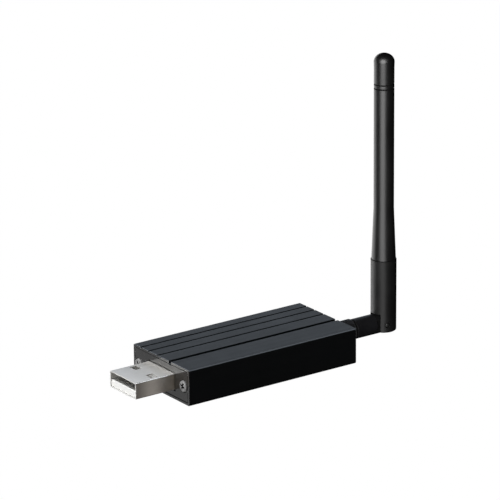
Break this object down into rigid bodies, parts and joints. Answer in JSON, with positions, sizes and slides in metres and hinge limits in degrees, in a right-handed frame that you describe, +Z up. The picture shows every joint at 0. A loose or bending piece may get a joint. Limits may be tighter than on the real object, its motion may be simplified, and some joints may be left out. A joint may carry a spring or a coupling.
{
  "type": "usb radio stick with tilting antenna",
  "caption": "Flat black aluminium USB radio stick: a grooved case with a USB plug on the front end and a tilting, turning stub antenna on the rear end.",
  "frame": {"origin": "centre of the flat bottom face of the case", "axes": "+X from the USB plug to the antenna, +Y across the case, +Z up out of the grooved top face"},
  "size_m": [0.0877, 0.0254, 0.0792],
  "materials": {
    "black_anodised": "fine satin black anodising",
    "plate_black": "fine textured black coating",
    "screw_steel": "dark zinc-plated steel",
    "plug_nickel": "satin nickel plate on folded steel sheet",
    "white_insulator": "white moulded plastic",
    "contact_pale": "pale plated strip",
    "board": "green solder mask",
    "can": "tinned steel sheet",
    "chip": "black moulded package",
    "crystal_can": "metal lid",
    "light_lens": "clear moulded lens",
    "ceramic": "ceramic blocks",
    "gold_jack": "gold-plated brass",
    "ptfe": "white fluoropolymer",
    "gold_contact": "gold plate",
    "nut_nickel": "nickel plate",
    "ring_black": "black plated brass with fine knurl",
    "knuckle_black": "satin black moulded plastic",
    "coax": "thin coaxial cable",
    "sleeve_black": "matte black moulded plastic",
    "pin_steel": "blackened steel",
    "whip_black": "smooth satin black elastomer",
    "copper": "drawn brass tube"
  },
  "bodies": {
    "case": {"housing": "black_anodised", "front_plate": "plate_black", "rear_plate": "plate_black", "front_screws": "screw_steel", "rear_screws": "screw_steel", "plug_shell": "plug_nickel", "plug_insulator": "white_insulator", "plug_contacts": "contact_pale", "circuit_board": "board", "radio_shield": "can", "radio_chip": "chip", "radio_crystal": "crystal_can", "bridge_chip": "chip", "bridge_crystal": "crystal_can", "regulator": "chip", "status_light": "light_lens", "capacitors": "ceramic", "connector_body": "gold_jack", "connector_insulator": "ptfe", "connector_contact": "gold_contact", "lock_washer": "nut_nickel", "panel_nut": "nut_nickel"},
    "ring": {"coupling_ring": "ring_black"},
    "knuckle": {"knuckle": "knuckle_black", "antenna_ferrule": "gold_jack", "ferrule_insulator": "ptfe", "ferrule_contact": "gold_contact", "knuckle_coax": "coax"},
    "antenna": {"antenna_sleeve": "sleeve_black", "hinge_pin": "pin_steel", "whip_cover": "whip_black", "feed_coax": "coax", "dipole_tube": "copper", "dipole_wire": "copper"}
  },
  "joints": [
    {"name": "ring_turn", "type": "hinge", "parent": "case", "child": "ring", "pos_m": [0.0322, 0, 0.00412], "axis": [1, 0, 0], "continuous": true},
    {"name": "antenna_swivel", "type": "hinge", "parent": "case", "child": "knuckle", "pos_m": [0.0322, 0, 0.00412], "axis": [1, 0, 0], "continuous": true},
    {"name": "antenna_tilt", "type": "hinge", "parent": "knuckle", "child": "antenna", "pos_m": [0.04447, 0, 0.00412], "axis": [0, 1, 0], "range_deg": [0, 90]}
  ]
}
